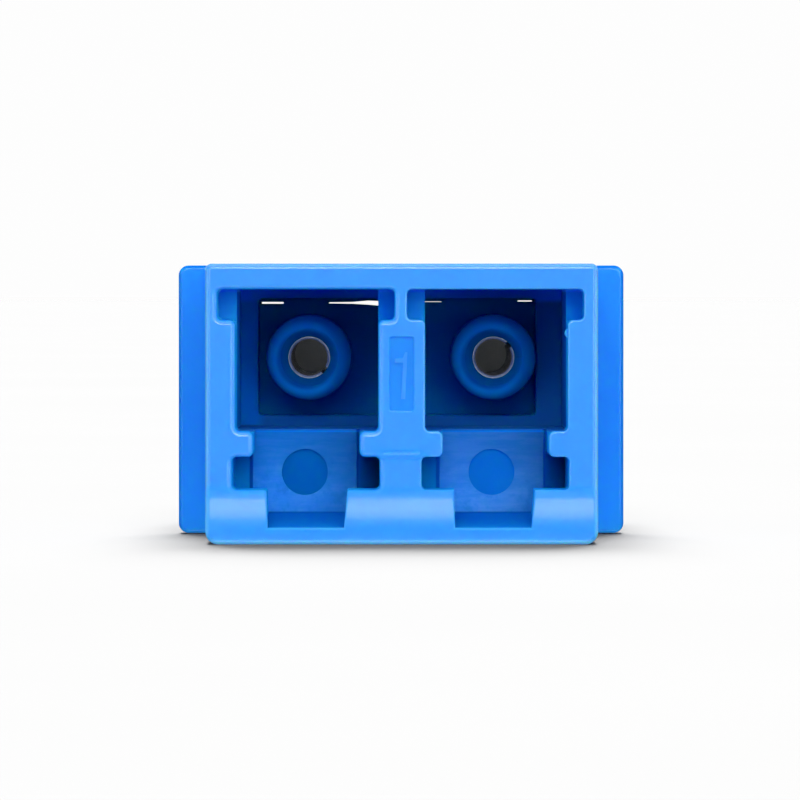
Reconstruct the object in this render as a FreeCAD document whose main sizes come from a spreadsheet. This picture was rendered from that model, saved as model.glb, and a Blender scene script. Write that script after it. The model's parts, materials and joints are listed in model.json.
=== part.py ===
import FreeCAD, Part
import math
import os
import Sketcher

# Duplex fibre adapter for 1.25 mm ferrule plugs, in a simplex-size panel footprint.
# Millimetres. +Z is up, with the latch slots of the ports at the bottom, and the
# near ports face -Y. The origin is on the bottom face, halfway between the near
# and the far end face: the plane where the two housing halves, and the ferrules
# of two plugs, meet.

doc = FreeCAD.newDocument("duplex_fibre_adapter")
sheet = doc.addObject("Spreadsheet::Sheet", "dims")

SIZES = [
    # outer shape of the housing halves
    ("half_len", 12.9, "end face to the joint plane"),
    ("body_w", 12.95, "body width"),
    ("body_h", 9.26, "body height"),
    ("rad_top", 0.22, "top long edge radius"),
    ("rad_bot", 0.42, "bottom long edge radius"),
    ("edge_r", 0.17, "rounding of the end face's outer edge"),
    ("flange_w", 15.3, "flange width"),
    ("flange_z0", 0.03, "flange bottom above the rest face"),
    ("flange_z1", 9.23, "flange top"),
    ("flange_y", 2.4, "flange front face ahead of the joint plane"),
    ("flange_t", 1.5, "flange thickness"),
    ("flange_rad", 0.34, "flange corner radius"),
    ("flange_er", 0.13, "flange edge rounding"),
    ("lip_top", 1.86, "where the end face starts to come forward"),
    ("lip_low", 0.46, "where the lower lip is flat again"),
    ("lip_set", 0.22, "how far the lower lip stands forward"),
    # ports
    ("pitch", 6.25, "port to port"),
    ("port_z", 6.1, "port axis above the rest face"),
    ("bore_w", 4.7, "port width"),
    ("bore_bot", 3.73, "port floor"),
    ("bore_top", 8.41, "port ceiling"),
    ("notch_l", 2.945, "top left notch's outer side from the port axis"),
    ("notch_r", 2.885, "top right notch's outer side from the port axis"),
    ("notch_bot", 7.4, "notch floor"),
    ("front_wall", 2.2, "notch depth and latch shoulder thickness"),
    ("neck_l", 1.77, "latch neck's left side from the port axis"),
    ("neck_r", 1.73, "latch neck's right side from the port axis"),
    ("neck_bot", 2.88, "latch neck lower end"),
    ("lug_l", 2.47, "latch lug slot's left side from the port axis"),
    ("lug_r", 2.395, "latch lug slot's right side from the port axis"),
    ("lug_bot", 1.8, "latch shoulder height"),
    ("thumb_w", 2.66, "thumb slot width at its top"),
    ("thumb_in_l", 0.04, "thumb slot's left side leans in by this much"),
    ("thumb_in_r", 0.11, "thumb slot's right side leans in by this much"),
    ("thumb_bot", 0.55, "thumb slot floor"),
    ("thumb_dx", -0.07, "right port's thumb slot off the port axis"),
    ("latch_len", 4.0, "depth of the pad at the end of the latch chamber"),
    ("pocket_z", 1.3, "floor of the slanting pockets beside the pad"),
    ("pad_left", 1.83, "pad's left edge from the port axis"),
    ("left_deep", 4.75, "depth of the left pocket at its outer end"),
    ("pad_right", 1.62, "pad's right edge from the port axis"),
    ("right_deep", 6.0, "depth of the right pocket at its outer end"),
    ("floor_end", 0.92, "height of the sloping floor at the pad"),
    ("rin", 0.16, "corner radius of the openings"),
    ("rout", 0.19, "radius of corners that stand into the openings"),
    ("port_er", 0.065, "rounding of the port edges"),
    ("step_len", 9.0, "depth of the step where the port narrows"),
    ("back_len", 12.1, "depth of the middle wall"),
    ("stop_left", 0.58, "step on the left port's outer side"),
    ("stop_right", 0.85, "step on the right port's outer side"),
    ("stop_top", 0.3, "step at the ceiling"),
    ("stop_bot", 0.36, "step at the floor"),
    ("vent_z", 7.94, "middle of the left port's light slots above the sleeve tubes"),
    ("vent_h", 0.064, "height of its outer slot"),
    ("vent_thin", 0.04, "height of its inner slot at the thin end"),
    ("vent_tall", 0.16, "height of that slot at the inner wall"),
    ("vent_a0", -1.76, "left port's outer slot from the port axis"),
    ("vent_a1", -0.94, "left port's outer slot end"),
    ("vent_b0", 0.62, "left port's inner slot from the port axis"),
    ("vent_b1", 1.45, "where that slot starts to widen"),
    ("vent_b2", 1.98, "where that slot is wide"),
    ("vent_cz", 7.98, "middle of the right port's inner slot"),
    ("vent_ch", 0.02, "height of the right port's inner slot"),
    ("vent_c1", -1.72, "right port's inner slot end"),
    ("vent_dz", 8.005, "middle of the right port's outer slot"),
    ("vent_dh", 0.04, "height of the right port's outer slot"),
    ("vent_d0", 0.91, "right port's outer slot from the port axis"),
    ("vent_d1", 1.49, "right port's outer slot end"),
    ("mark_d", 1.54, "round mark on the latch pad"),
    ("mark_z", 2.29, "height of the round mark"),
    ("mark_dx", -0.11, "round mark off the port axis"),
    ("mark_len", 0.10, "depth of the round mark"),
    ("nick_r", 0.17, "radius of the moulding nick"),
    ("nick_z", 6.96, "height of the moulding nick"),
    # sleeve tubes and sleeves
    ("tube_d", 2.88, "sleeve tube outer diameter"),
    ("tube_y", 6.15, "tube end from the joint plane"),
    ("tube_er", 0.42, "rounding of the tube end"),
    ("seat_d", 1.7, "sleeve seat diameter"),
    ("seat_len", 5.75, "sleeve seat depth from the joint plane"),
    ("lip_d", 1.42, "hole in the tube's end lip, at the sleeve"),
    ("cone_w", 0.27, "widening of the lip's conical lead-in"),
    ("sleeve_od", 1.62, "split sleeve outer diameter"),
    ("sleeve_id", 1.25, "split sleeve inner diameter"),
    ("sleeve_len", 11.4, "split sleeve length"),
    ("slit_w", 0.24, "slit width"),
    ("slit_ang", 40.0, "slit direction from the horizontal"),
    # web between the ports
    ("label_w", 0.77, "label recess width"),
    ("label_z0", 4.4, "label recess bottom"),
    ("label_z1", 6.83, "label recess top"),
    ("label_len", 0.11, "label recess depth"),
    ("label_er", 0.045, "bevel of the label recess's edge"),
    ("bead_z", 2.94, "bead across the web"),
    ("bead_half", 0.13, "half height of the bead"),
    ("bead_out", 0.035, "bead height above the face"),
    ("bead_w", 1.2, "bead length"),
    # joint ring between the halves
    ("ring_out", 0.4, "joint ring inset"),
    ("ring_in", 0.85, "joint ring inner inset"),
    ("ring_len", 0.8, "joint groove depth"),
    ("ring_gap", 0.03, "joint ring clearance"),
    # panel clip
    ("clip_y0", 0.7, "clip front edge from the joint plane"),
    ("clip_y1", 5.9, "clip rear edge"),
    ("clip_t", 0.25, "clip sheet thickness"),
    ("clip_gap", 0.03, "clip clearance in its groove"),
    ("clip_seat", 0.35, "clip groove depth"),
    ("clip_bot", 2.1, "lower end of the clip legs"),
    ("clip_lip", 0.3, "inward hook at the end of a leg"),
    ("clip_slot0", 4.0, "tongue slot bottom"),
    ("clip_slot1", 7.4, "tongue slot top"),
    ("clip_root", 4.9, "tongue root from the joint plane"),
    ("tongue_gap", 0.2, "slot beside the tongue"),
    ("tongue_out", 0.8, "tongue tip beyond the body side"),
    ("tongue_tip", 0.95, "tongue tip from the joint plane"),
    # dust cap
    ("cap_gap", 0.05, "cap plate off the end face"),
    ("cap_t", 1.0, "cap plate thickness"),
    ("cap_w", 12.2, "cap plate width"),
    ("cap_z0", 2.0, "cap plate bottom"),
    ("cap_z1", 7.78, "cap plate top"),
    ("cap_rad", 0.9, "cap plate corner radius"),
    ("plug_gap", 0.15, "plug clearance in the port"),
    ("plug_top", 7.78, "top of the plugs, with an air gap above them"),
    ("plug_len", 2.2, "plug length in the port"),
    ("plug_wall", 0.6, "plug wall"),
    ("tab_w", 7.0, "pull tab width"),
    ("tab_t", 1.5, "pull tab thickness"),
    ("tab_z", 4.9, "pull tab middle height"),
    ("tab_len", 4.2, "pull tab length"),
    ("tab_rad", 1.3, "pull tab corner radius"),
    ("grip_r", 0.28, "grip rib radius"),
    ("cap_er", 0.25, "cap edge rounding"),
]


class Dim:
    """A size with its number and the sheet expression that drives it."""

    def __init__(self, value, text):
        self.value = float(value)
        self.text = text

    def __add__(self, other):
        other = dim(other)
        return Dim(self.value + other.value, "(" + self.text + " + " + other.text + ")")

    __radd__ = __add__

    def __neg__(self):
        return Dim(-self.value, "(0 - " + self.text + ")")

    def __sub__(self, other):
        return self + (-dim(other))

    def __rsub__(self, other):
        return dim(other) + (-self)

    def __mul__(self, other):
        other = dim(other)
        return Dim(self.value * other.value, "(" + self.text + " * " + other.text + ")")

    __rmul__ = __mul__

    def __truediv__(self, other):
        other = dim(other)
        return Dim(self.value / other.value, "(" + self.text + " / " + other.text + ")")


def dim(x):
    return x if isinstance(x, Dim) else Dim(x, "(%.9g)" % x)


D = {}
for row, (alias, value, words) in enumerate(SIZES, start=1):
    sheet.set("A%d" % row, words)
    sheet.set("B%d" % row, "%.9g" % value)
    sheet.setAlias("B%d" % row, alias)
    D[alias] = Dim(value, "dims." + alias)
doc.recompute()


# ---------------------------------------------------------------- helpers

def new_body(label):
    body = doc.addObject("PartDesign::Body", label)
    body.Label = label
    body.Placement = FreeCAD.Placement()
    doc.recompute()
    return body


def sketch(body, name, role, offset=None, across=None):
    """A sketch on an origin plane, moved off it, and across it along its own horizontal."""
    sk = body.newObject("Sketcher::SketchObject", name)
    plane = [o for o in body.Origin.OriginFeatures if o.Role == role][0]
    sk.AttachmentSupport = [(plane, "")]
    sk.MapMode = "FlatFace"
    if offset is not None:
        offset, across = dim(offset), dim(across or 0)
        sk.AttachmentOffset = FreeCAD.Placement(FreeCAD.Vector(across.value, 0, offset.value), FreeCAD.Rotation())
        sk.setExpression("AttachmentOffset.Base.z", offset.text)
        sk.setExpression("AttachmentOffset.Base.x", across.text)
    return sk


rules = []


def rule(*args, text=None):
    """Note a sketch constraint, with the expression that drives it."""
    rules.append((Sketcher.Constraint(*args), text))


def settle(sk):
    """Give a finished sketch its constraints, then their expressions."""
    first = sk.ConstraintCount
    sk.addConstraint([c for c, text in rules])
    for k, (c, text) in enumerate(rules):
        if text is not None:
            sk.setExpression("Constraints[%d]" % (first + k), text)
    rules.clear()


def pin(sk, geo, pos, x, z):
    """Fix a sketch point at two driven coordinates."""
    for kind, c in (("DistanceX", dim(x)), ("DistanceY", dim(z))):
        rule(kind, -1, 1, geo, pos, c.value, text=c.text)


def radius(sk, geo, r):
    r = dim(r)
    rule("Radius", geo, r.value, text=r.text)


def outline(sk, corners):
    """A closed outline. Each corner is (x, z, r): r is 0 or the radius of a square corner."""
    n = len(corners)
    pts = [(dim(c[0]), dim(c[1]), dim(c[2] if len(c) > 2 else 0)) for c in corners]
    num = [FreeCAD.Vector(p[0].value, p[1].value, 0) for p in pts]
    ends = []
    for i in range(n):
        x, z, r = pts[i]
        if r.value <= 0:
            ends.append(((x, z), (x, z), None))
            continue
        d0 = (num[i] - num[i - 1]).normalize()
        d1 = (num[(i + 1) % n] - num[i]).normalize()
        a = [round(d0.x), round(d0.y)]
        b = [round(d1.x), round(d1.y)]
        start = (x - r * a[0], z - r * a[1])
        stop = (x + r * b[0], z + r * b[1])
        mid = (x - r * a[0] + r * b[0], z - r * a[1] + r * b[1])
        turn = a[0] * b[1] - a[1] * b[0]
        ends.append((start, stop, (mid, r, turn)))
    lines = []
    for i in range(n):
        p, q = ends[i][1], ends[(i + 1) % n][0]
        lines.append(sk.addGeometry(Part.LineSegment(
            FreeCAD.Vector(p[0].value, p[1].value, 0), FreeCAD.Vector(q[0].value, q[1].value, 0)), False))
    for i in range(n):
        before, after = lines[i - 1], lines[i]
        start, stop, arc = ends[i]
        if arc is None:
            rule("Coincident", before, 2, after, 1)
            pin(sk, after, 1, *stop)
            continue
        mid, r, turn = arc
        c = FreeCAD.Vector(mid[0].value, mid[1].value, 0)
        first, last = (start, stop) if turn > 0 else (stop, start)
        a0 = math.atan2(first[1].value - c.y, first[0].value - c.x)
        a1 = math.atan2(last[1].value - c.y, last[0].value - c.x)
        if a1 < a0:
            a1 += 2 * math.pi
        g = sk.addGeometry(Part.ArcOfCircle(Part.Circle(c, FreeCAD.Vector(0, 0, 1), r.value), a0, a1), False)
        at_start, at_stop = (1, 2) if turn > 0 else (2, 1)
        rule("Coincident", before, 2, g, at_start)
        rule("Coincident", g, at_stop, after, 1)
        pin(sk, before, 2, *start)
        pin(sk, after, 1, *stop)
        radius(sk, g, r)


def box_outline(sk, x0, z0, x1, z1, r=0):
    outline(sk, [(x0, z0, r), (x1, z0, r), (x1, z1, r), (x0, z1, r)])


def circle(sk, x, z, r):
    r = dim(r)
    g = sk.addGeometry(Part.Circle(FreeCAD.Vector(dim(x).value, dim(z).value, 0), FreeCAD.Vector(0, 0, 1), r.value), False)
    pin(sk, g, 3, x, z)
    radius(sk, g, r)


def arc_through(sk, centre, r, a0, a1):
    return sk.addGeometry(Part.ArcOfCircle(Part.Circle(centre, FreeCAD.Vector(0, 0, 1), r), a0, a1), False)


def volume(body):
    return body.Tip.Shape.Volume if body.Tip is not None and not body.Tip.Shape.isNull() else 0.0


def feature(body, kind, name, sk, length, reverse=False, middle=False):
    """A pad or pocket, and proof that it changed the solid the right way."""
    before = volume(body)
    settle(sk)
    f = body.newObject("PartDesign::" + kind, name)
    f.Profile = sk
    length = dim(length)
    f.Length = length.value
    f.setExpression("Length", length.text)
    f.Reversed = reverse
    f.Midplane = middle
    f.Refine = True
    doc.recompute()
    change = volume(body) - before
    if (kind == "Pad") != (change > 1e-6) or abs(change) < 1e-6:
        raise RuntimeError("%s %s changed the volume by %.6f" % (body.Label, name, change))
    return f


def cut_shape(body, kind, name, **links):
    """A loft or groove that takes material away, and proof that it did."""
    before = volume(body)
    f = body.newObject("PartDesign::" + kind, name)
    for key, value in links.items():
        setattr(f, key, value)
    f.Refine = True
    doc.recompute()
    if f.Shape.isNull() or not f.Shape.isValid() or volume(body) > before - 1e-6:
        raise RuntimeError("%s %s changed the volume by %.6f" % (body.Label, name, volume(body) - before))
    return f


def edges(body, test):
    """Names of the tip's edges whose points all pass a test."""
    names = []
    for i, e in enumerate(body.Tip.Shape.Edges, start=1):
        ps = [e.valueAt(e.FirstParameter + k * (e.LastParameter - e.FirstParameter) / 4.0) for k in range(5)]
        if all(test(p) for p in ps):
            names.append("Edge%d" % i)
    return names


def blend(body, kind, name, size, names):
    """Fillet or chamfer the named edges of the tip."""
    if not names:
        raise RuntimeError("%s %s found no edge" % (body.Label, name))
    size = dim(size)
    tip = body.Tip
    before = volume(body)
    f = body.newObject("PartDesign::" + kind, name)
    f.Base = (tip, names)
    prop = "Radius" if kind == "Fillet" else "Size"
    setattr(f, prop, size.value)
    f.setExpression(prop, size.text)
    doc.recompute()
    if f.Shape.isNull() or not f.Shape.isValid() or abs(volume(body) - before) < 1e-7:
        raise RuntimeError("%s %s failed on %d edges" % (body.Label, name, len(names)))
    return f


def near(a, b, tol=1e-4):
    return abs(a - b) < tol


# ---------------------------------------------------------------- housing halves

hw = D["body_w"] / 2
px = D["pitch"] / 2
bw = D["bore_w"] / 2
nl, nr = D["notch_l"], D["notch_r"]
kl, kr = D["neck_l"], D["neck_r"]
ll, lr = D["lug_l"], D["lug_r"]
tw = D["thumb_w"] / 2
rin, rout = D["rin"], D["rout"]


def face_y(z):
    """How far the end face stands forward at a height."""
    top, low, out = D["lip_top"].value, D["lip_low"].value, D["lip_set"].value
    if z >= top:
        return 0.0
    if z <= low:
        return out
    h = top - low
    big = (h * h + out * out) / (4 * out)
    if z >= (top + low) / 2:
        return big - math.sqrt(big * big - (top - z) ** 2)
    return out - big + math.sqrt(big * big - (z - low) ** 2)


def port_outline(x):
    """The opening seen on the end face: port, side notches, neck, lug slot and thumb slot."""
    tx = x + D["thumb_dx"] if x.value > 0 else x
    left = [
        (x - nl, D["bore_top"], rin), (x - nl, D["notch_bot"], rin), (x - bw, D["notch_bot"], rout),
        (x - bw, D["bore_bot"], rin), (x - kl, D["bore_bot"], rout), (x - kl, D["neck_bot"], rout),
        (x - ll, D["neck_bot"], rin), (x - ll, D["lug_bot"], rin), (tx - tw, D["lug_bot"], 0),
        (tx - tw + D["thumb_in_l"], D["thumb_bot"], 0),
    ]
    right = [
        (tx + tw - D["thumb_in_r"], D["thumb_bot"], 0), (tx + tw, D["lug_bot"], 0), (x + lr, D["lug_bot"], rin),
        (x + lr, D["neck_bot"], rin), (x + kr, D["neck_bot"], rout), (x + kr, D["bore_bot"], rout),
        (x + bw, D["bore_bot"], rin), (x + bw, D["notch_bot"], rout), (x + nr, D["notch_bot"], rin),
        (x + nr, D["bore_top"], rin),
    ]
    return left + right


def housing(label, front):
    """One half. The near half ends at -half_len, the far half at +half_len."""
    s = -1.0 if front else 1.0
    L = D["half_len"]
    body = new_body(label)

    def end_sketch(name, depth=0.0):
        off = L - depth
        return sketch(body, name, "XZ_Plane", off if front else -off)

    def cut(name, sk, length):
        return feature(body, "Pocket", name, sk, length, reverse=not front)

    if front:
        # The flange comes first, so that its edges are rounded all round before the body runs through it.
        sk = sketch(body, "flange_outline", "XZ_Plane", D["flange_y"])
        box_outline(sk, -D["flange_w"] / 2, D["flange_z0"], D["flange_w"] / 2, D["flange_z1"], D["flange_rad"])
        feature(body, "Pad", "flange", sk, D["flange_t"], reverse=True)
        ya, yb = -D["flange_y"].value, -D["flange_y"].value + D["flange_t"].value
        blend(body, "Fillet", "flange_front", D["flange_er"], edges(body, lambda p: near(p.y, ya)))
        blend(body, "Chamfer", "flange_back", D["flange_er"] * 0.8, edges(body, lambda p: near(p.y, yb)))

    # body section
    sk = sketch(body, "body_outline", "XZ_Plane", 0.0)
    outline(sk, [(-hw, 0, D["rad_bot"]), (hw, 0, D["rad_bot"]), (hw, D["body_h"], D["rad_top"]), (-hw, D["body_h"], D["rad_top"])])
    feature(body, "Pad", "body", sk, L + D["lip_set"], reverse=not front)

    # the end face is cut back above the lower lip, in a soft S
    sk = sketch(body, "lip_profile", "YZ_Plane")
    ye = (-L if front else L)
    top, low, out = D["lip_top"], D["lip_low"], D["lip_set"]
    big = ((top - low) * (top - low) + out * out) / (4 * out)
    v = lambda p: FreeCAD.Vector(dim(p[0]).value, dim(p[1]).value, 0)
    chin = (ye + out * s, low)
    mid = (ye + out * s / 2, (top + low) / 2)
    ring = [(ye, top), (ye, D["body_h"] + 1), (ye + (out + 0.4) * s, D["body_h"] + 1), (ye + (out + 0.4) * s, low), chin]
    g = [sk.addGeometry(Part.LineSegment(v(ring[k]), v(ring[k + 1])), False) for k in range(4)]
    arcs = []
    for cy, cz, p, q in ((ye + (out - big) * s, low, chin, mid), (ye + big * s, top, mid, ring[0])):
        c = v((cy, cz))
        a = math.atan2(v(p).y - c.y, v(p).x - c.x)
        b = math.atan2(v(q).y - c.y, v(q).x - c.x)
        turn = math.atan2(math.sin(b - a), math.cos(b - a))
        k = arc_through(sk, c, big.value, a if turn > 0 else b, (a + turn) if turn > 0 else (b - turn))
        arcs.append((k, (1, 2) if turn > 0 else (2, 1)))
    chain = [(k, 1, 2) for k in g] + [(k,) + ends for k, ends in arcs]
    for i in range(6):
        rule("Coincident", chain[i][0], chain[i][2], chain[(i + 1) % 6][0], chain[(i + 1) % 6][1])
    for k in range(4):
        pin(sk, g[k], 1, *ring[k])
    pin(sk, g[3], 2, *chin)
    pin(sk, arcs[0][0], arcs[0][1][1], *mid)
    radius(sk, arcs[0][0], big)
    radius(sk, arcs[1][0], big)
    feature(body, "Pocket", "lip", sk, D["body_w"] + 2, middle=True)

    # openings in the end wall
    sides = ((-1, "left"), (1, "right"))
    for side, word in sides:
        sk = end_sketch(word + "_opening", -D["lip_set"])
        outline(sk, port_outline(px * side))
        cut(word + "_port", sk, D["front_wall"] + D["lip_set"])

    # the latch chambers behind the shoulders, back to a pad with a slanting pocket at each side
    up = D["bore_bot"] + 0.3
    sk = end_sketch("latch_outline", D["front_wall"])
    for side in (-1, 1):
        x = px * side
        outline(sk, [(x - kl, up, 0), (x - kl, D["neck_bot"], rout), (x - ll, D["neck_bot"], rin), (x - ll, D["thumb_bot"], rin / 2),
                     (x + lr, D["thumb_bot"], rin / 2), (x + lr, D["neck_bot"], rin), (x + kr, D["neck_bot"], rout), (x + kr, up, 0)])
    cut("latch_chambers", sk, D["latch_len"] - D["front_wall"])
    y_pad = ye - D["latch_len"] * s
    slant = (D["right_deep"] - D["latch_len"]) / (lr - D["pad_right"])
    sk = sketch(body, "pocket_outline", "XY_Plane", D["pocket_z"])
    for side in (-1, 1):
        x = px * side
        outline(sk, [(x - ll, y_pad), (x - D["pad_left"], y_pad), (x - ll, ye - D["left_deep"] * s)])
        outline(sk, [(x + D["pad_right"], y_pad), (x + lr, y_pad), (x + lr, ye - D["right_deep"] * s)])
    feature(body, "Pocket", "side_pockets", sk, D["neck_bot"] - D["pocket_z"], reverse=True)
    sk = sketch(body, "neck_pocket_outline", "XY_Plane", D["neck_bot"])
    for side in (-1, 1):
        x = px * side
        outline(sk, [(x + D["pad_right"], y_pad), (x + kr, y_pad), (x + kr, y_pad - slant * (kr - D["pad_right"]) * s)])
    feature(body, "Pocket", "neck_pockets", sk, up - D["neck_bot"], reverse=True)
    # the chamber floor slopes up to the pad
    for side, word in sides:
        sk = sketch(body, word + "_floor_profile", "YZ_Plane", px * side)
        ya, yb = ye - 0.1 * s, ye - (D["latch_len"] + 0.1) * s
        under = D["thumb_bot"] - 0.2
        outline(sk, [(ya, D["thumb_bot"]), (ya, under), (yb, under), (yb, D["floor_end"])])
        feature(body, "Pad", word + "_floor", sk, D["lug_l"] * 2 + 0.06, middle=True)
    sk = end_sketch("mark_outline", D["latch_len"])
    for side in (-1, 1):
        circle(sk, px * side + D["mark_dx"], D["mark_z"], D["mark_d"] / 2)
    cut("marks", sk, D["mark_len"])

    # the ports: straight, then narrower past a step on the outer side, ceiling and floor, up to the middle wall
    sk = end_sketch("port_outline", D["front_wall"])
    for side in (-1, 1):
        x = px * side
        box_outline(sk, x - bw, D["bore_bot"], x + bw, D["bore_top"])
    cut("port_open", sk, D["step_len"] - D["front_wall"])
    sk = end_sketch("inner_outline", D["step_len"])
    for side in (-1, 1):
        x = px * side
        lo, hi = (x - bw + D["stop_left"], x + bw) if side < 0 else (x - bw, x + bw - D["stop_right"])
        box_outline(sk, lo, D["bore_bot"] + D["stop_bot"], hi, D["bore_top"] - D["stop_top"], rin)
    cut("inner_open", sk, D["back_len"] - D["step_len"])

    # sleeve tubes that stand out of the middle wall
    sk = sketch(body, "tube_outline", "XZ_Plane", 0.0)
    for side in (-1, 1):
        circle(sk, px * side, D["port_z"], D["tube_d"] / 2)
    feature(body, "Pad", "tubes", sk, D["tube_y"], reverse=not front)

    # slots through the middle wall, above the tubes
    sk = end_sketch("vent_outline", D["back_len"])
    vz, h0, h1, h2 = D["vent_z"], D["vent_h"] / 2, D["vent_thin"] / 2, D["vent_tall"] / 2
    box_outline(sk, -px + D["vent_a0"], vz - h0, -px + D["vent_a1"], vz + h0)
    b0, b1, b2, b3 = -px + D["vent_b0"], -px + D["vent_b1"], -px + D["vent_b2"], -px + bw
    outline(sk, [(b0, vz - h1), (b1, vz - h0), (b2, vz - h2 * 0.8), (b3, vz - h2 * 1.2), (b3, vz + h2 * 0.8), (b2, vz + h2), (b1, vz + h0), (b0, vz + h1)])
    box_outline(sk, px - bw, D["vent_cz"] - D["vent_ch"] / 2, px + D["vent_c1"], D["vent_cz"] + D["vent_ch"] / 2)
    box_outline(sk, px + D["vent_d0"], D["vent_dz"] - D["vent_dh"] / 2, px + D["vent_d1"], D["vent_dz"] + D["vent_dh"] / 2)
    cut("vents", sk, L - D["back_len"] + 1.5)

    # sleeve seats, from the joint plane, and the conical lips that keep the sleeves in
    sk = sketch(body, "seat_outline", "XZ_Plane", 0.0)
    for side in (-1, 1):
        circle(sk, px * side, D["port_z"], D["seat_d"] / 2)
    feature(body, "Pocket", "sleeve_seats", sk, D["seat_len"], reverse=front)
    for side, word in sides:
        sk = sketch(body, word + "_lip_profile", "XY_Plane", D["port_z"], px * side)
        r0 = D["lip_d"] / 2
        r1 = r0 + D["cone_w"]
        ys, yt = D["seat_len"] * s, D["tube_y"] * s
        outline(sk, [(0, ys - 0.1 * s), (r0, ys - 0.1 * s), (r0, ys), (r1, yt), (r1, yt + 0.2 * s), (0, yt + 0.2 * s)])
        settle(sk)
        cut_shape(body, "Groove", word + "_lip", Profile=sk, ReferenceAxis=(sk, ["V_Axis"]), Angle=360)
    blend(body, "Fillet" if front else "Chamfer", "tube_ends", D["tube_er"],
          edges(body, lambda p: near(p.y, yt.value) and near(math.hypot(abs(p.x) - px.value, p.z - D["port_z"].value), D["tube_d"].value / 2)))

    # rounded edges of the end face: the outer edge, then the port openings
    def on_face(p):
        return near(p.y, s * (L.value + face_y(p.z)), 2e-3)

    def outer(p):
        return (near(abs(p.x), hw.value, 2e-3) or near(p.z, 0, 2e-3) or near(p.z, D["body_h"].value, 2e-3)
                or abs(p.x) > hw.value - D["rad_bot"].value - 1e-3)

    def seam(p):
        return any(near(p.z, z, 1e-3) for z in (top.value, mid[1].value, low.value))

    blend(body, "Fillet", "end_edge", D["edge_r"], edges(body, lambda p: on_face(p) and outer(p)))
    seams = edges(body, seam)
    blend(body, "Fillet" if front else "Chamfer", "port_edges", D["port_er"],
          [e for e in edges(body, lambda p: on_face(p) and 0.3 < p.z < D["body_h"].value - 0.5 and abs(p.x) < px.value + nl.value + 0.05)
           if e not in seams])

    # label recess on the web, with a plain raised digit on the near half
    sk = end_sketch("label_outline")
    box_outline(sk, -D["label_w"] / 2, D["label_z0"], D["label_w"] / 2, D["label_z1"], 0.07)
    if front:
        outline(sk, [(-0.02, 4.79), (0.12, 4.79), (0.19, 6.34), (0.11, 6.34), (0.03, 6.14), (-0.23, 6.12), (-0.23, 5.99), (0.045, 5.99)])
    cut("label", sk, D["label_len"])
    half, z0, z1 = D["label_w"].value / 2, D["label_z0"].value, D["label_z1"].value
    blend(body, "Chamfer", "label_edge", D["label_er"],
          edges(body, lambda p: near(p.y, ye.value) and (near(abs(p.x), half, 0.03) or near(p.z, z0, 0.03) or near(p.z, z1, 0.03))
                and abs(p.x) < half + 0.01 and z0 - 0.01 < p.z < z1 + 0.01))

    # a low bead across the web at the top of the lug slots
    sk = sketch(body, "bead_profile", "YZ_Plane")
    b, o = D["bead_half"], D["bead_out"]
    r = (b * b + o * o) / (2 * o)
    c = (ye - (r - o) * s, D["bead_z"])
    p0, p1 = (ye, D["bead_z"] - b), (ye, D["bead_z"] + b)
    cv = v(c)
    k0 = sk.addGeometry(Part.LineSegment(v(p0), v(p1)), False)
    a = math.atan2(v(p0).y - cv.y, v(p0).x - cv.x)
    e = math.atan2(v(p1).y - cv.y, v(p1).x - cv.x)
    turn = math.atan2(math.sin(e - a), math.cos(e - a))
    k1 = arc_through(sk, cv, r.value, a if turn > 0 else e, (a + turn) if turn > 0 else (e - turn))
    f0, f1 = (1, 2) if turn > 0 else (2, 1)
    rule("Coincident", k0, 1, k1, f0)
    rule("Coincident", k0, 2, k1, f1)
    pin(sk, k0, 1, *p0)
    pin(sk, k0, 2, *p1)
    radius(sk, k1, r)
    feature(body, "Pad", "bead", sk, D["bead_w"], middle=True)

    if front:
        # a moulding nick that stands into the right port's outer edge
        sk = end_sketch("nick_outline", 0.09)
        circle(sk, px + bw + 0.07, D["nick_z"], D["nick_r"])
        feature(body, "Pad", "nick", sk, 0.35, reverse=True)
        # groove of the welded joint
        sk = sketch(body, "joint_groove", "XZ_Plane", 0.0)
        for inset in (D["ring_out"], D["ring_in"]):
            box_outline(sk, -hw + inset, inset, hw - inset, D["body_h"] - inset, 0.15)
        feature(body, "Pocket", "joint", sk, D["ring_len"], reverse=True)
    else:
        # tongue of the welded joint
        sk = sketch(body, "joint_tongue", "XZ_Plane", 0.0)
        for inset in (D["ring_out"] + D["ring_gap"], D["ring_in"] - D["ring_gap"]):
            box_outline(sk, -hw + inset, inset, hw - inset, D["body_h"] - inset, 0.15)
        feature(body, "Pad", "joint", sk, D["ring_len"] - 0.05)
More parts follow.
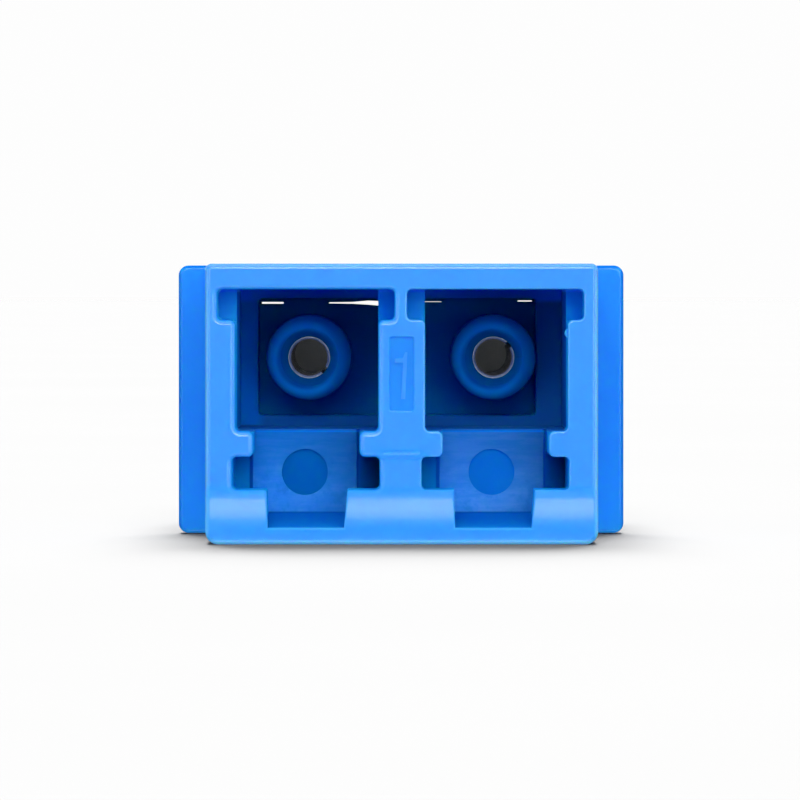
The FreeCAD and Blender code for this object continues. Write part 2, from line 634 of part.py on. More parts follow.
        # seat of the panel clip: a shallow groove over the top and down both sides, with hook notches
        seat = D["clip_seat"]
        sk = sketch(body, "clip_groove", "XZ_Plane", -(D["clip_y0"] - 0.1))
        outline(sk, [(-hw - 1, D["clip_bot"] - 0.1), (-hw + seat, D["clip_bot"] - 0.1), (-hw + seat, D["body_h"] - seat - 0.3),
                     (-hw + seat + 0.3, D["body_h"] - seat), (hw - seat - 0.3, D["body_h"] - seat),
                     (hw - seat, D["body_h"] - seat - 0.3), (hw - seat, D["clip_bot"] - 0.1), (hw + 1, D["clip_bot"] - 0.1),
                     (hw + 1, D["body_h"] + 1), (-hw - 1, D["body_h"] + 1)])
        feature(body, "Pocket", "clip_seat", sk, D["clip_y1"] - D["clip_y0"] + 0.2)
        sk = sketch(body, "hook_notches", "XZ_Plane", -(D["clip_y0"] - 0.1))
        for side in (-1, 1):
            lo, hi = (-hw + seat - 0.1, -hw + seat + D["clip_lip"] + 0.05) if side < 0 else (hw - seat - D["clip_lip"] - 0.05, hw - seat + 0.1)
            box_outline(sk, lo, D["clip_bot"] - 0.1, hi, D["clip_bot"] + D["clip_t"] + 0.1)
        feature(body, "Pocket", "hooks", sk, D["clip_y1"] - D["clip_y0"] + 0.2)
    return body


front_housing = housing("front_housing", True)
rear_housing = housing("rear_housing", False)


# ---------------------------------------------------------------- split sleeves

def split_sleeve(label, side, angle):
    body = new_body(label)
    sk = sketch(body, "ring", "XZ_Plane", 0.0)
    x = px * side
    circle(sk, x, D["port_z"], D["sleeve_od"] / 2)
    circle(sk, x, D["port_z"], D["sleeve_id"] / 2)
    feature(body, "Pad", "tube", sk, D["sleeve_len"], middle=True)
    # the slit runs the whole length, out from the axis at the given angle
    sk = sketch(body, "slit", "XZ_Plane", 0.0)
    ca, sa = math.cos(math.radians(angle)), math.sin(math.radians(angle))
    h = D["slit_w"] / 2
    far = D["sleeve_od"]
    z = D["port_z"]
    outline(sk, [(x - h * sa * -1.0 * -1.0, z + h * ca), (x + h * sa, z - h * ca),
                 (x + far * ca + h * sa, z + far * sa - h * ca), (x + far * ca - h * sa, z + far * sa + h * ca)])
    feature(body, "Pocket", "slit_cut", sk, D["sleeve_len"] + 2, middle=True)
    ends = D["sleeve_len"].value / 2
    blend(body, "Chamfer", "sleeve_ends", 0.05,
          edges(body, lambda p: near(abs(p.y), ends) and near(math.hypot(p.x - x.value, p.z - z.value), D["sleeve_id"].value / 2)))
    return body


left_split_sleeve = split_sleeve("left_split_sleeve", -1, -D["slit_ang"].value)
right_split_sleeve = split_sleeve("right_split_sleeve", 1, D["slit_ang"].value)


# ---------------------------------------------------------------- panel clip

def clip():
    body = new_body("panel_clip")
    t, gap, seat = D["clip_t"], D["clip_gap"], D["clip_seat"]
    xi = hw - seat + gap
    xo = xi + t
    zi = D["body_h"] - seat + gap
    zo = zi + t
    bot = D["clip_bot"]
    hook = hw - seat - D["clip_lip"]
    sk = sketch(body, "folded_strip", "XZ_Plane", -D["clip_y0"])
    outline(sk, [(-xo, bot, 0.3), (-hook, bot, 0), (-hook, bot + t, 0), (-xi, bot + t, 0.05), (-xi, zi, 0.3), (xi, zi, 0.3), (xi, bot + t, 0.05),
                 (hook, bot + t, 0), (hook, bot, 0), (xo, bot, 0.3), (xo, zo, 0.55), (-xo, zo, 0.55)])
    feature(body, "Pad", "strip", sk, D["clip_y1"] - D["clip_y0"], reverse=True)
    # open slots in both legs, with a spring tongue bent out of each
    sk = sketch(body, "leg_slots", "YZ_Plane")
    box_outline(sk, D["clip_y0"] - 0.5, D["clip_slot0"], D["clip_root"], D["clip_slot1"])
    feature(body, "Pocket", "slots", sk, D["body_w"] + 4, middle=True)
    sk = sketch(body, "tongues", "XY_Plane", D["clip_slot0"] + D["tongue_gap"])
    tip = hw + D["tongue_out"]
    for side in (-1, 1):
        pts = [(xi, D["clip_root"] + 0.2), (xo, D["clip_root"] + 0.2), (xo, D["clip_root"] - 0.15), (tip, D["tongue_tip"]),
               (tip - t, D["tongue_tip"]), (xi, D["clip_root"] - 0.25)]
        outline(sk, [(p[0] * side, p[1]) for p in pts])
    feature(body, "Pad", "tongue", sk, D["clip_slot1"] - D["clip_slot0"] - 2 * D["tongue_gap"])
    # a narrow window in the bridge
    sk = sketch(body, "bridge_window", "XY_Plane", zo)
    box_outline(sk, -2.6, D["clip_y0"] + 1.7, 2.6, D["clip_y1"] - 1.7, 0.4)
    feature(body, "Pocket", "window", sk, 3 * t)
    return body


panel_clip = clip()


# ---------------------------------------------------------------- dust cap

def dust_cap():
    body = new_body("rear_dust_cap")
    y0 = D["half_len"] + D["cap_gap"]
    y1 = y0 + D["cap_t"]
    sk = sketch(body, "plate_outline", "XZ_Plane", -y0)
    box_outline(sk, -D["cap_w"] / 2, D["cap_z0"], D["cap_w"] / 2, D["cap_z1"], D["cap_rad"])
    feature(body, "Pad", "plate", sk, D["cap_t"], reverse=True)
    blend(body, "Fillet", "plate_edge", D["cap_er"], edges(body, lambda p: near(p.y, y1.value)))
    # hollow plugs that stand in the ports
    sk = sketch(body, "plug_outline", "XZ_Plane", -(y0 + 0.1))
    g, w = D["plug_gap"], D["plug_wall"]
    for side in (-1, 1):
        x = px * side
        for inset, r in ((0, 0.3), (w, 0.2)):
            box_outline(sk, x - bw + g + inset, D["bore_bot"] + g + inset, x + bw - g - inset, D["plug_top"] - inset, r)
    feature(body, "Pad", "plugs", sk, D["plug_len"] + D["cap_gap"] + 0.1)
    yp = D["half_len"].value - D["plug_len"].value
    x_in, z_in0, z_in1 = (bw - g - w).value, (D["bore_bot"] + g + w).value, (D["plug_top"] - w).value
    blend(body, "Chamfer", "plug_lead", 0.15,
          edges(body, lambda p: near(p.y, yp) and not (abs(abs(p.x) - px.value) < x_in + 0.01 and z_in0 - 0.01 < p.z < z_in1 + 0.01)))
    # pull tab with grip ribs
    sk = sketch(body, "tab_outline", "XY_Plane", D["tab_z"] - D["tab_t"] / 2)
    tx = D["tab_w"] / 2
    outline(sk, [(-tx, y1 - 0.1, 0), (tx, y1 - 0.1, 0), (tx, y1 + D["tab_len"], D["tab_rad"]), (-tx, y1 + D["tab_len"], D["tab_rad"])])
    feature(body, "Pad", "tab", sk, D["tab_t"])
    zt = D["tab_t"].value / 2
    blend(body, "Fillet", "tab_edge", D["cap_er"],
          edges(body, lambda p: near(abs(p.z - D["tab_z"].value), zt) and p.y > y1.value - 0.01
                and (near(abs(p.x), tx.value) or p.y > y1.value + D["tab_len"].value - D["tab_rad"].value - 1e-3)))
    sk = sketch(body, "rib_outline", "YZ_Plane")
    for i in range(3):
        for up in (-1, 1):
            circle(sk, y1 + 1.3 + 0.85 * i, D["tab_z"] + up * (D["tab_t"] / 2 - 0.08), D["grip_r"])
    feature(body, "Pad", "ribs", sk, D["tab_w"] - 1.6, middle=True)
    return body


rear_dust_cap = dust_cap()


# ---------------------------------------------------------------- checks and files

doc.recompute()
pieces = [front_housing, rear_housing, left_split_sleeve, right_split_sleeve, panel_clip, rear_dust_cap]
for o in doc.Objects:
    bad = [x for x in o.State if x in ("Invalid", "Error")]
    if bad:
        raise RuntimeError("%s is %s" % (o.Name, bad))
for b in pieces:
    if b.Shape.isNull() or not b.Shape.isValid() or len(b.Shape.Solids) != 1:
        raise RuntimeError("%s: not one valid solid (%d)" % (b.Label, len(b.Shape.Solids)))
os.makedirs("parts", exist_ok=True)
for b in pieces:
    b.Shape.exportStep("parts/%s.step" % b.Label)
    bb = b.Shape.BoundBox
    print("%-20s %8.2f mm3  x %.2f..%.2f  y %.2f..%.2f  z %.2f..%.2f" % (
        b.Label, b.Shape.Volume, bb.XMin, bb.XMax, bb.YMin, bb.YMax, bb.ZMin, bb.ZMax))
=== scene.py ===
import json
import math

import bpy
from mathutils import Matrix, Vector

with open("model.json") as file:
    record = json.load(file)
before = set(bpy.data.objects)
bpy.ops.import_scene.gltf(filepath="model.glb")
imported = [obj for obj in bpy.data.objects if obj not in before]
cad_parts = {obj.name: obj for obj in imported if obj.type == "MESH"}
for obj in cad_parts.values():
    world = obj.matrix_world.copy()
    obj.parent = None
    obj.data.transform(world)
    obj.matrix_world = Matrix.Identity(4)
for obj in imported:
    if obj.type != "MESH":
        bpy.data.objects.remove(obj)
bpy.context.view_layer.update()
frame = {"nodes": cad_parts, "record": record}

scene = bpy.context.scene
MM = 0.001


# ---------------------------------------------------------------- material helpers

class Nodes:
    """A material under construction: short calls that add a node and return its output."""

    def __init__(self, name):
        self.mat = bpy.data.materials.new(name)
        self.mat.use_nodes = True
        self.tree = self.mat.node_tree
        self.tree.nodes.clear()
        self.out = self.tree.nodes.new("ShaderNodeOutputMaterial")
        self.shader = self.tree.nodes.new("ShaderNodeBsdfPrincipled")
        self.tree.links.new(self.shader.outputs["BSDF"], self.out.inputs["Surface"])
        self.place = self.tree.nodes.new("ShaderNodeTexCoord").outputs["Object"]

    def link(self, a, b):
        self.tree.links.new(a, b)

    def mm(self, scale=(1, 1, 1), turn=(0, 0, 0)):
        """Object coordinates in millimetres, stretched."""
        n = self.tree.nodes.new("ShaderNodeMapping")
        n.inputs["Scale"].default_value = [1000 * s for s in scale]
        n.inputs["Rotation"].default_value = turn
        self.link(self.place, n.inputs["Vector"])
        return n.outputs["Vector"]

    def noise(self, vector, scale, detail=3.0, rough=0.55):
        n = self.tree.nodes.new("ShaderNodeTexNoise")
        n.inputs["Scale"].default_value = scale
        n.inputs["Detail"].default_value = detail
        n.inputs["Roughness"].default_value = rough
        self.link(vector, n.inputs["Vector"])
        return n.outputs["Fac"]

    def axis(self, which):
        n = self.tree.nodes.new("ShaderNodeSeparateXYZ")
        self.link(self.mm(), n.inputs["Vector"])
        return n.outputs[which]

    def ramp(self, value, lo, hi, to_lo=0.0, to_hi=1.0, smooth=True):
        n = self.tree.nodes.new("ShaderNodeMapRange")
        n.interpolation_type = "SMOOTHSTEP" if smooth else "LINEAR"
        n.inputs["From Min"].default_value = lo
        n.inputs["From Max"].default_value = hi
        n.inputs["To Min"].default_value = to_lo
        n.inputs["To Max"].default_value = to_hi
        self.link(value, n.inputs["Value"])
        return n.outputs["Result"]

    def math(self, kind, a, b=None):
        n = self.tree.nodes.new("ShaderNodeMath")
        n.operation = kind
        for k, x in enumerate((a, b)):
            if x is None:
                continue
            if isinstance(x, (int, float)):
                n.inputs[k].default_value = x
            else:
                self.link(x, n.inputs[k])
        return n.outputs["Value"]

    def mix(self, fac, a, b):
        n = self.tree.nodes.new("ShaderNodeMix")
        n.data_type = "RGBA"
        n.clamp_factor = True
        self.link(fac, n.inputs["Factor"])
        for key, x in (("A", a), ("B", b)):
            sock = [s for s in n.inputs if s.name == key and s.type == "RGBA"][0]
            if isinstance(x, tuple):
                sock.default_value = (*x, 1.0)
            else:
                self.link(x, sock)
        return [s for s in n.outputs if s.type == "RGBA"][0]

    def both(self, *masks):
        """The product of several masks."""
        got = masks[0]
        for k in masks[1:]:
            got = self.math("MULTIPLY", got, k)
        return got

    def scale(self, colour, by):
        n = self.tree.nodes.new("ShaderNodeVectorMath")
        n.operation = "SCALE"
        self.link(colour, n.inputs[0])
        self.link(by, n.inputs["Scale"])
        return n.outputs["Vector"]

    def bump(self, height, strength, distance):
        n = self.tree.nodes.new("ShaderNodeBump")
        n.inputs["Strength"].default_value = strength
        n.inputs["Distance"].default_value = distance
        self.link(height, n.inputs["Height"])
        self.link(n.outputs["Normal"], self.shader.inputs["Normal"])

    def set(self, name, value):
        sock = self.shader.inputs[name]
        if isinstance(value, (int, float)):
            sock.default_value = value
        elif isinstance(value, tuple) and len(value) == len(sock.default_value):
            sock.default_value = value
        elif isinstance(value, tuple):
            sock.default_value = (*value, 1.0)
        else:
            self.link(value, sock)


def blue_plastic(name):
    """Moulded blue plastic that lets some blue light through its thin walls.

    The end faces are paler and finely grained and the walls inside the
    ports are deeper. The pads in the latch chambers carry drag marks round
    a smooth mark and are painted lighter towards the bottom, a painted pool
    of light broken up by noise. Much of the colour inside the ports is
    painted light and shade, and the two ports are tinted differently to
    follow their light. The flange ears and the rounded edges of the end
    faces carry painted light and shade too. The outer skin is glossier
    than the walls inside.
    """
    m = Nodes(name)
    xs, z = m.axis("X"), m.axis("Z")
    x, y = m.math("ABSOLUTE", xs), m.math("ABSOLUTE", m.axis("Y"))
    u = m.math("SUBTRACT", xs, m.math("MULTIPLY", m.math("SIGN", xs), 3.125))     # across, from the port axis
    v = m.math("SUBTRACT", z, 6.06)
    r = m.math("SQRT", m.math("ADD", m.math("MULTIPLY", u, u), m.math("MULTIPLY", v, v)))
    face = m.ramp(y, 12.77, 12.89)
    ear = m.ramp(x, 6.44, 6.50)
    skin = m.math("MAXIMUM", m.math("MAXIMUM", m.ramp(y, 12.62, 12.78), m.ramp(x, 6.25, 6.40)), m.ramp(z, 9.00, 9.15))
    within = m.both(m.ramp(x, 6.2, 6.0), m.ramp(z, 8.8, 8.6), m.ramp(z, 0.30, 0.42))
    below = m.both(within, m.ramp(z, 3.66, 3.60))
    pad = m.both(m.ramp(y, 8.86, 8.88), m.ramp(y, 9.05, 8.93), below)
    mark = m.both(m.ramp(y, 8.70, 8.78), m.ramp(y, 8.88, 8.86), below)
    sill = m.both(within, m.ramp(z, 1.00, 0.93), m.ramp(y, 12.75, 12.6), m.ramp(x, 5.6, 5.5))
    far = m.both(within, m.ramp(y, 3.80, 3.70))
    step = m.both(within, m.ramp(y, 3.70, 3.82), m.ramp(y, 4.10, 3.98))
    pocket = m.both(m.ramp(y, 6.4, 6.6), m.ramp(y, 8.89, 8.87), below, m.ramp(z, 1.0, 1.1))
    wall = m.both(within, m.ramp(m.math("ABSOLUTE", u), 2.26, 2.32), m.ramp(y, 4.0, 4.1), m.ramp(y, 10.66, 10.58), m.ramp(z, 3.75, 3.85))
    ceiling = m.both(within, m.ramp(z, 8.28, 8.36), m.ramp(y, 12.7, 12.5), m.ramp(y, 4.2, 4.4))
    notch = m.both(within, m.ramp(u, -2.30, -2.40), m.ramp(z, 7.0, 7.2), m.ramp(y, 10.60, 10.66), m.ramp(y, 12.7, 12.6))
    ear_rim = m.math("MAXIMUM", m.ramp(x, 7.50, 7.62), m.both(m.ramp(z, 9.08, 9.18), ear))
    bed = m.both(within, m.ramp(z, 3.80, 3.76), m.ramp(z, 3.66, 3.70), m.ramp(y, 12.6, 12.4))
    tube = m.both(m.ramp(y, 6.45, 6.35), m.ramp(y, 4.2, 4.8), m.ramp(r, 1.58, 1.52))
    # the centre of the tube ends' painted shade sits a little left of and below each port axis
    ul, vl = m.math("ADD", u, 0.09), m.math("ADD", v, 0.03)
    rl = m.math("SQRT", m.math("ADD", m.math("MULTIPLY", ul, ul), m.math("MULTIPLY", vl, vl)))
    cone = m.math("MAXIMUM", m.ramp(rl, 1.10, 0.90), m.both(m.ramp(rl, 1.11, 1.42), m.ramp(u, -1.2, 1.2, 0.62, 1.0)))
    cloud = m.noise(m.mm(), 0.9, 3.0)
    grain = m.noise(m.mm(), 26.0, 2.0)
    drag = m.noise(m.mm((0.7, 0.7, 4.0)), 1.0, 5.0, 0.65)
    frost = m.noise(m.mm(), 2.2, 5.0, 0.65)
    deep = m.mix(m.ramp(cloud, 0.3, 0.7), (0.0040, 0.245, 0.790), (0.0050, 0.258, 0.810))
    ear_lit_tone = m.mix(m.ramp(cloud, 0.3, 0.7), (0.0045, 0.275, 0.900), (0.0055, 0.288, 0.920))
    pale = m.mix(m.ramp(cloud, 0.3, 0.7), (0.031, 0.280, 0.815), (0.034, 0.290, 0.835))
    # painted highlight colour for the rounded edges of the end faces, greyer near the top
    light = m.mix(m.ramp(cloud, 0.3, 0.7), (0.098, 0.415, 0.970), (0.105, 0.425, 0.980))
    light = m.mix(m.ramp(z, 8.5, 9.0), light, (0.110, 0.350, 0.930))
    # right picks the right-hand port; the two ports get slightly different tints as painted light and shade
    right = m.ramp(xs, -1, 1)
    # latch pads: a shaded upper tone with drag lines and a lit lower tone with noise, lit and shaded copies of one
    # colour; the pads are painted lighter towards the bottom, a painted pool of light broken up by the frost noise, and
    # painted darker from left to right across each port as painted shade
    lines, drag_frost_noise = m.ramp(drag, 0.35, 0.65), m.math("MULTIPLY", m.ramp(drag, 0.3, 0.7), m.ramp(frost, 0.35, 0.6))
    clear = m.mix(right, m.mix(lines, (0.008, 0.178, 0.540), (0.018, 0.198, 0.580)), m.mix(lines, (0.018, 0.180, 0.540), (0.034, 0.202, 0.580)))
    pad_lit_lower_tone = m.mix(right, m.mix(drag_frost_noise, (0.022, 0.270, 0.750), (0.056, 0.320, 0.810)), m.mix(drag_frost_noise, (0.036, 0.275, 0.740), (0.075, 0.335, 0.800)))
    pad_painted_light_shade = m.mix(m.math("MULTIPLY", m.ramp(z, 3.6, 1.2), m.ramp(frost, 0.1, 0.5)), clear, pad_lit_lower_tone)
    pad_painted_light_shade = m.scale(pad_painted_light_shade, m.ramp(u, -1.8, 1.6, 1.22, 0.82, smooth=False))
    # the smooth mark has its own darker tone; the left port's mark is painted darker than the right's as painted shade
    smooth = m.mix(right, m.mix(m.ramp(cloud, 0.3, 0.7), (0.0010, 0.145, 0.500), (0.0014, 0.157, 0.530)),
                   m.mix(m.ramp(cloud, 0.3, 0.7), (0.0035, 0.190, 0.660), (0.0045, 0.205, 0.700)))
    # the step where the port narrows is painted darker as painted shade, except at the far left of the left port, and
    # painted lighter along its top as painted light
    shelf = m.mix(m.ramp(xs, -4.55, -5.05), (0.0120, 0.138, 0.520), (0.0040, 0.195, 0.750))
    shelf = m.mix(m.ramp(z, 7.9, 8.1), shelf, (0.0120, 0.220, 0.970))
    # the flange ears are painted lighter than the inner walls, painted light against the shade they sit in; their outer
    # and top rounded edges are painted darker as painted shade
    inner = m.mix(ear, deep, m.mix(ear_rim, ear_lit_tone, (0.0020, 0.170, 0.660)))
    # the deep pockets beside the latch pads: the left one of each chamber is painted bright as painted light, the right
    # one a little darker as painted shade, differing between the two ports
    inner = m.mix(pocket, inner, m.mix(m.ramp(u, -0.5, 0.5), (0.0070, 0.500, 0.980), m.mix(right, (0.0026, 0.245, 0.690), (0.0030, 0.305, 0.800))))
    inner = m.mix(pad, inner, pad_painted_light_shade)
    inner = m.mix(mark, inner, smooth)
    # the far walls behind the step are painted lighter, painted light reaching deep into the ports, except a strip
    # right of the left port's axis (xs -1.2 to -0.2 mm) that keeps a darker tone as painted shade
    inner = m.mix(far, inner, m.mix(m.both(m.ramp(xs, -3.2, -1.2), m.ramp(xs, 0.2, -0.2)), (0.0050, 0.340, 0.930), (0.0050, 0.265, 0.790)))
    # the side walls deep in the ports are painted darker as painted shade, darkest on the right port's right-hand wall
    inner = m.mix(wall, inner, m.mix(right, (0.0030, 0.175, 0.640), m.mix(m.ramp(u, -0.5, 0.5), (0.0030, 0.140, 0.640), (0.0030, 0.122, 0.510))))
    # the notch at the upper left of each port is painted lighter as painted light
    inner = m.mix(notch, inner, (0.0160, 0.340, 0.840))
    # the ceilings of the ports are painted lighter as painted light
    inner = m.mix(ceiling, inner, (0.0300, 0.290, 0.980))
    inner = m.mix(step, inner, shelf)
    # the floors of the ports are painted darker as painted shade
    inner = m.mix(bed, inner, (0.0120, 0.138, 0.520))
    # the tube ends are painted in shade: a dark funnel inside the crest and a fade over the outer rounding, heavier
    # towards the right, and the crest itself painted darker at its sides, most at the right
    crest = m.mix(m.ramp(u, 0.2, 1.1), m.mix(m.ramp(u, -1.1, -0.3), (0.0026, 0.190, 0.590), (0.0030, 0.222, 0.660)), (0.0020, 0.128, 0.440))
    dim = m.mix(m.ramp(u, 0.2, 0.9), (0.0017, 0.096, 0.350), (0.0020, 0.112, 0.400))
    inner = m.mix(tube, inner, m.mix(cone, crest, dim))
    # the floor of the thumb slot just behind the face is painted darker as painted shade
    inner = m.mix(sill, inner, (0.0020, 0.130, 0.560))
    # a painted highlight on the rounded outer edge of the end faces, strongest at the right and the bottom
    rim = m.math("MAXIMUM", m.both(m.ramp(x, 6.33, 6.44), m.ramp(xs, -1, 1, 0.70, 1.0)), m.math("MULTIPLY", m.ramp(z, 9.08, 9.18), 0.65))
    rim = m.both(m.math("MAXIMUM", rim, m.ramp(z, 0.22, 0.08)), m.ramp(y, 12.70, 12.78))
    colour = m.mix(rim, m.mix(face, inner, pale), light)
    # the gloss: full on the skin, a soft band along the lip, faint on the bead of the web
    front = m.ramp(y, 12.80, 12.88)
    band = m.both(m.ramp(z, 0.70, 1.22), m.ramp(z, 1.70, 1.18))
    dull = m.both(front, m.ramp(z, 1.95, 1.88), m.ramp(z, 0.30, 0.42), m.math("SUBTRACT", 1.0, m.math("MAXIMUM", m.math("MULTIPLY", band, 0.98), 0.10)))
    bead = m.both(front, m.ramp(z, 2.68, 2.78), m.ramp(z, 3.20, 3.10), m.ramp(x, 1.0, 0.8), m.ramp(z, 0, 1, 0.80, 0.80))
    top = m.both(m.ramp(z, 9.10, 9.20), m.ramp(y, 12.80, 12.70))
    gloss = m.both(skin, m.math("SUBTRACT", 1.0, dull), m.math("SUBTRACT", 1.0, bead), m.ramp(ear_rim, 0, 1, 1.0, 0.15), m.ramp(ear, 0, 1, 1.0, 0.65), m.ramp(top, 0, 1, 1.0, 0.15))
    m.set("Base Color", colour)
    m.set("Roughness", m.ramp(grain, 0.25, 0.75, 0.30, 0.40))
    m.set("Specular IOR Level", 0.0)
    m.set("IOR", 1.5)
    m.set("Coat Weight", gloss)
    m.set("Coat Roughness", 0.16)
    m.set("Coat IOR", 1.5)
    m.set("Subsurface Weight", 1.0)
    m.set("Subsurface Radius", (0.04, 0.22, 1.0))
    m.set("Subsurface Scale", 0.0007)
    m.bump(m.math("ADD", grain, m.math("MULTIPLY", drag, pad)), 0.10, 0.000012)
    return m.mat


def white_ceramic(name):
    """Ground zirconia with fine grinding lines round the axis, painted a mid grey instead of its near white as painted
    shade; its end ring is painted dark and bluish, painted shade and painted blue reflection from the tube.
    """
    m = Nodes(name)
    grind = m.noise(m.mm((1, 9, 1)), 3.0, 3.0)
    grain = m.noise(m.mm(), 14.0, 2.0)
    # painted shade: a mid grey stands in for the white zirconia, dimmed as it sits deep in the ports
    white = m.mix(m.ramp(grain, 0.3, 0.7), (0.46, 0.46, 0.448), (0.52, 0.52, 0.508))
    end = m.ramp(m.math("ABSOLUTE", m.axis("Y")), 5.62, 5.68)
    xs = m.axis("X")
    u = m.math("ABSOLUTE", m.math("SUBTRACT", xs, m.math("MULTIPLY", m.math("SIGN", xs), 3.125)))     # across, from the sleeve axis
    # painted shade and painted blue reflection: the sleeve's end ring is painted dark and bluish, darker towards its
    # outer edge
    rim = m.mix(m.ramp(u, 0.30, 0.62), m.mix(m.ramp(grain, 0.3, 0.7), (0.155, 0.225, 0.375), (0.185, 0.255, 0.415)),
                m.mix(m.ramp(grain, 0.3, 0.7), (0.068, 0.130, 0.320), (0.082, 0.148, 0.350)))
    m.set("Base Color", m.mix(end, white, rim))
    m.set("Roughness", m.ramp(grind, 0.3, 0.7, 0.16, 0.30))
    m.set("IOR", 2.0)
    m.bump(grind, 0.08, 0.000006)
    return m.mat


def spring_steel(name):
    """Rolled spring strip: bright metal with rolling lines along the strip."""
    m = Nodes(name)
    roll = m.noise(m.mm((0.4, 14.0, 0.4)), 1.0, 4.0, 0.6)
    cloud = m.noise(m.mm(), 0.7, 2.0)
    m.set("Base Color", m.mix(m.ramp(cloud, 0.3, 0.7), (0.54, 0.545, 0.555), (0.64, 0.64, 0.645)))
    m.set("Metallic", 1.0)
    m.set("Roughness", m.ramp(roll, 0.3, 0.7, 0.20, 0.38))
    m.bump(roll, 0.15, 0.000010)
    return m.mat


def milky_plastic(name):
    """Soft milky plastic that lets a little light through."""
    m = Nodes(name)
    cloud = m.noise(m.mm(), 0.6, 3.0)
    grain = m.noise(m.mm(), 20.0, 2.0)
    m.set("Base Color", m.mix(m.ramp(cloud, 0.3, 0.7), (0.78, 0.80, 0.79), (0.86, 0.87, 0.86)))
    m.set("Roughness", m.ramp(grain, 0.3, 0.7, 0.42, 0.54))
    m.set("IOR", 1.5)
    m.set("Transmission Weight", 0.16)
    m.bump(grain, 0.12, 0.000012)
    return m.mat


looks = {
    "blue_plastic": blue_plastic("blue_plastic_moulded"),
    "blue_plastic_rear": blue_plastic("blue_plastic_rear_moulded"),
    "white_ceramic": white_ceramic("white_ceramic_ground"),
    "spring_steel": spring_steel("spring_steel_rolled"),
    "milky_plastic": milky_plastic("milky_plastic_soft"),
}
slots = {s["node"]: s["material_slot"] for s in frame["record"]["subparts"]}
for node, obj in frame["nodes"].items():
    for k in range(len(obj.material_slots)):
        obj.material_slots[k].material = looks[slots[node]]


# ---------------------------------------------------------------- stage

def floor_sheet():
    """A large pale table top."""
    mesh = bpy.data.meshes.new("floor")
    r = 6.0
    z = -0.005 * MM          # just under the part, so the two faces don't share one plane
    mesh.from_pydata([(-r, -r, z), (r, -r, z), (r, r, z), (-r, r, z)], [], [(0, 1, 2, 3)])
    obj = bpy.data.objects.new("floor", mesh)
    scene.collection.objects.link(obj)
    m = Nodes("floor_pale")
    speck = m.noise(m.mm((0.02, 0.02, 0.02)), 1.0, 2.0)
    m.set("Base Color", m.mix(m.ramp(speck, 0.3, 0.7), (0.0995, 0.0995, 0.0995), (0.1005, 0.1005, 0.1005)))
    m.set("Roughness", 0.9)
    m.set("Specular IOR Level", 0.0)
    mesh.materials.append(m.mat)
    obj.visible_diffuse = obj.visible_glossy = obj.visible_shadow = False
    return obj


floor = floor_sheet()

# white surroundings, dimmer as a light than they look
world = bpy.data.worlds.new("studio")
scene.world = world
world.use_nodes = True
tree = world.node_tree
tree.nodes.clear()
out = tree.nodes.new("ShaderNodeOutputWorld")
seen = tree.nodes.new("ShaderNodeBackground")
seen.inputs["Color"].default_value = (1, 1, 1, 1)
seen.inputs["Strength"].default_value = 0.985
lit = tree.nodes.new("ShaderNodeBackground")
lit.inputs["Color"].default_value = (1, 1, 1, 1)
lit.inputs["Strength"].default_value = 0.20
pick = tree.nodes.new("ShaderNodeMixShader")
path = tree.nodes.new("ShaderNodeLightPath")
tree.links.new(path.outputs["Is Camera Ray"], pick.inputs["Fac"])
tree.links.new(lit.outputs["Background"], pick.inputs[1])
tree.links.new(seen.outputs["Background"], pick.inputs[2])
tree.links.new(pick.outputs["Shader"], out.inputs["Surface"])


table_only = bpy.data.collections.new("table_only")
table_only.objects.link(floor)
part_only = bpy.data.collections.new("part_only")
part_only.objects.link(floor)
part_only.collection_objects[0].light_linking.link_state = "EXCLUDE"


def softbox(name, place, aim, size, radiance):
    """A rectangular soft light, in millimetres, aimed at a point, as bright as a white sheet of that radiance."""
    data = bpy.data.lights.new(name, "AREA")
    data.shape = "RECTANGLE"
    data.size, data.size_y = size[0] * MM, size[1] * MM
    data.energy = radiance * math.pi * data.size * data.size_y
    obj = bpy.data.objects.new(name, data)
    obj.location = Vector(place) * MM
    obj.rotation_euler = (Vector(aim) - Vector(place)).to_track_quat("-Z", "Y").to_euler()
    obj.visible_camera = False
    scene.collection.objects.link(obj)
    obj.light_linking.receiver_collection = part_only
    return obj


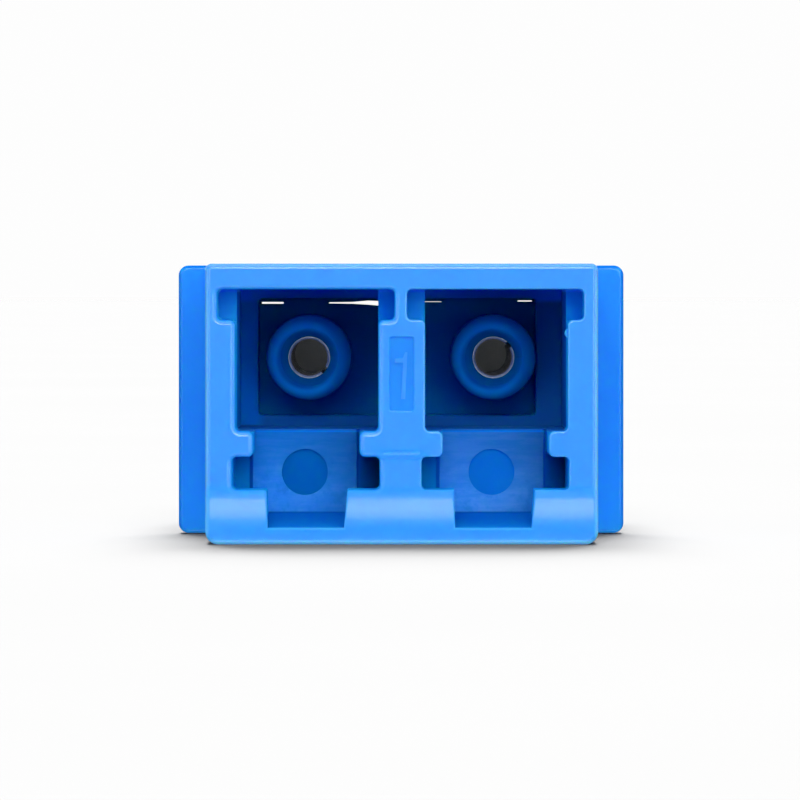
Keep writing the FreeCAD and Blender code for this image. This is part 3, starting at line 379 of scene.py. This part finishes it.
softbox("front_top", (0, -232, 118), (0, -13, 2), (130, 85), 4.0)
softbox("front_axis", (0, -330, 82), (0, -13, 5), (110, 80), 7.2)
softbox("front_right", (110, -316, 74), (0, -13, 5), (140, 165), 3.9)
softbox("front_left", (-110, -316, 74), (0, -13, 5), (140, 165), 2.6)
softbox("front_low", (0, -160, -130), (0, -13, 2), (200, 100), 1.7)
softbox("side_left", (-230, -120, 40), (0, -10, 5), (70, 170), 3.6)
softbox("side_right", (230, -120, 40), (0, -10, 5), (70, 170), 3.7)
softbox("over", (0, -60, 260), (0, -10, 5), (320, 300), 1.5)
softbox("behind", (0, 260, 120), (0, 10, 5), (360, 160), 1.8)

# soft lights that whiten the table: a band of sky from above and behind, and one from the front
for name, height, back, share in (("table_high", 65, 1, 0.325), ("table_mid", 50, 1, 0.325), ("table_low", 35, 1, 0.195), ("table_front", 35, -1, 0.155)):
    data = bpy.data.lights.new(name, "SUN")
    data.angle = math.radians(30)
    data.energy = share * 9.66 * math.pi / math.sin(math.radians(height))
    sun = bpy.data.objects.new(name, data)
    sun.rotation_euler = Vector((0, -back * math.cos(math.radians(height)), -math.sin(math.radians(height)))).to_track_quat("-Z", "Y").to_euler()
    scene.collection.objects.link(sun)
    sun.light_linking.receiver_collection = table_only

scene.view_settings.view_transform = "Standard"
scene.view_settings.look = "None"

# ---------------------------------------------------------------- camera: level with the top of the part, straight on

FRONT = -12.9
SCALE = 30.35                 # picture units per millimetre on the end face, in a frame of 800
DIST = 240.0
CENTRE = (400 - 401.7) / SCALE, (544.5 - 400) / SCALE
VANISH = (388 - 401.7) / SCALE, (544.5 - 290) / SCALE
data = bpy.data.cameras.new("camera")
data.sensor_width = 36.0
data.lens = SCALE * DIST * 36.0 / 800
data.clip_start, data.clip_end = 0.01, 20.0
camera = bpy.data.objects.new("camera", data)
camera.location = Vector((VANISH[0], FRONT - DIST, VANISH[1])) * MM
aim = Vector((CENTRE[0], FRONT, CENTRE[1])) * MM
camera.rotation_euler = (aim - camera.location).to_track_quat("-Z", "Y").to_euler()
scene.collection.objects.link(camera)
scene.camera = camera
